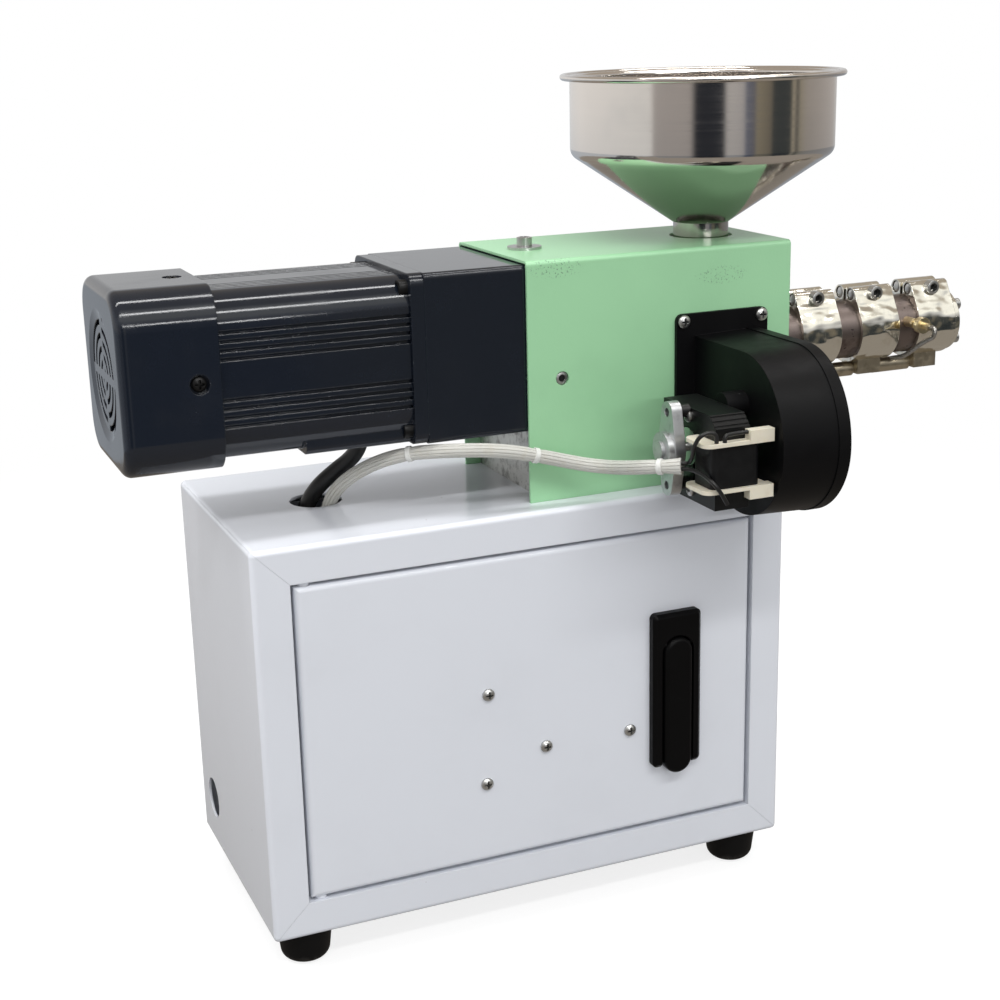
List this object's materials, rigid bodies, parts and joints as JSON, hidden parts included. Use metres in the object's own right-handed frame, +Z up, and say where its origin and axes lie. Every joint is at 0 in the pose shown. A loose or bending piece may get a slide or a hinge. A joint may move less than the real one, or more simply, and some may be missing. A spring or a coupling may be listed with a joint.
{
  "type": "benchtop single screw extruder",
  "caption": "Small single screw plastic extruder: gear motor, hopper, cooling blower and heated barrel on a sheet-metal cabinet with a hinged door.",
  "frame": {"origin": "on the floor under the middle of the cabinet, at the centre of the four foot bolts", "axes": "+X along the barrel towards the die, -Y out of the cabinet door, +Z up"},
  "size_m": [0.522, 0.2362, 0.462],
  "materials": {
    "cabinet_white": "glossy powder coat",
    "mint_green": "fine textured paint",
    "motor_slate": "gloss paint",
    "stainless": "polished",
    "barrel_steel": "heat-tinted",
    "aluminium": "milled",
    "zinc": "die cast",
    "black_plastic": "fine moulded",
    "core_black": "varnished laminations",
    "coil_tape": "wrapped tape",
    "bobbin_cream": "moulded nylon",
    "rubber": "moulded",
    "cable_black": "smooth jacket",
    "sleeve_white": "woven glass sleeve",
    "brass": "turned"
  },
  "bodies": {
    "root": {"cabinet_top": "cabinet_white", "cabinet_base": "cabinet_white", "cabinet_left_side": "cabinet_white", "cabinet_right_side": "cabinet_white", "cabinet_back_panel": "cabinet_white", "housing_cover": "mint_green", "gearhead": "motor_slate", "motor_flange": "motor_slate", "motor_body": "motor_slate", "motor_fan_cowl": "motor_slate", "hopper": "stainless", "hopper_neck": "stainless", "heater_band_1": "stainless", "heater_band_2": "stainless", "heater_band_3": "stainless", "heater_terminals": "stainless", "hinge_pins": "stainless", "probe_lead": "stainless", "barrel": "barrel_steel", "extruder_screw": "barrel_steel", "die_head": "barrel_steel", "base_plate": "aluminium", "mount_plate": "aluminium", "feed_block": "aluminium", "blower_brackets": "zinc", "blower_rotor": "zinc", "blower_housing": "black_plastic", "blower_cover": "black_plastic", "blower_wheel": "black_plastic", "motor_fan": "black_plastic", "blower_core": "core_black", "blower_coil": "coil_tape", "blower_bobbin": "bobbin_cream", "foot_front_left": "rubber", "foot_front_right": "rubber", "foot_back_left": "rubber", "foot_back_right": "rubber", "motor_cable": "cable_black", "blower_leads": "cable_black", "sleeved_cable": "sleeve_white", "heater_leads": "sleeve_white", "thermocouple": "brass"},
    "door": {"door_panel": "cabinet_white", "handle_base": "black_plastic"},
    "handle": {"handle_lever": "black_plastic"}
  },
  "joints": [
    {"name": "door_swing", "type": "hinge", "parent": "root", "child": "door", "pos_m": [-0.1275, -0.073, 0.131], "axis": [0, 0, -1], "range_deg": [0, 110]},
    {"name": "lever_lift", "type": "hinge", "parent": "door", "child": "handle", "pos_m": [0.0845, -0.0817, 0.15275], "axis": [-1, 0, 0], "range_deg": [0, 40]}
  ]
}
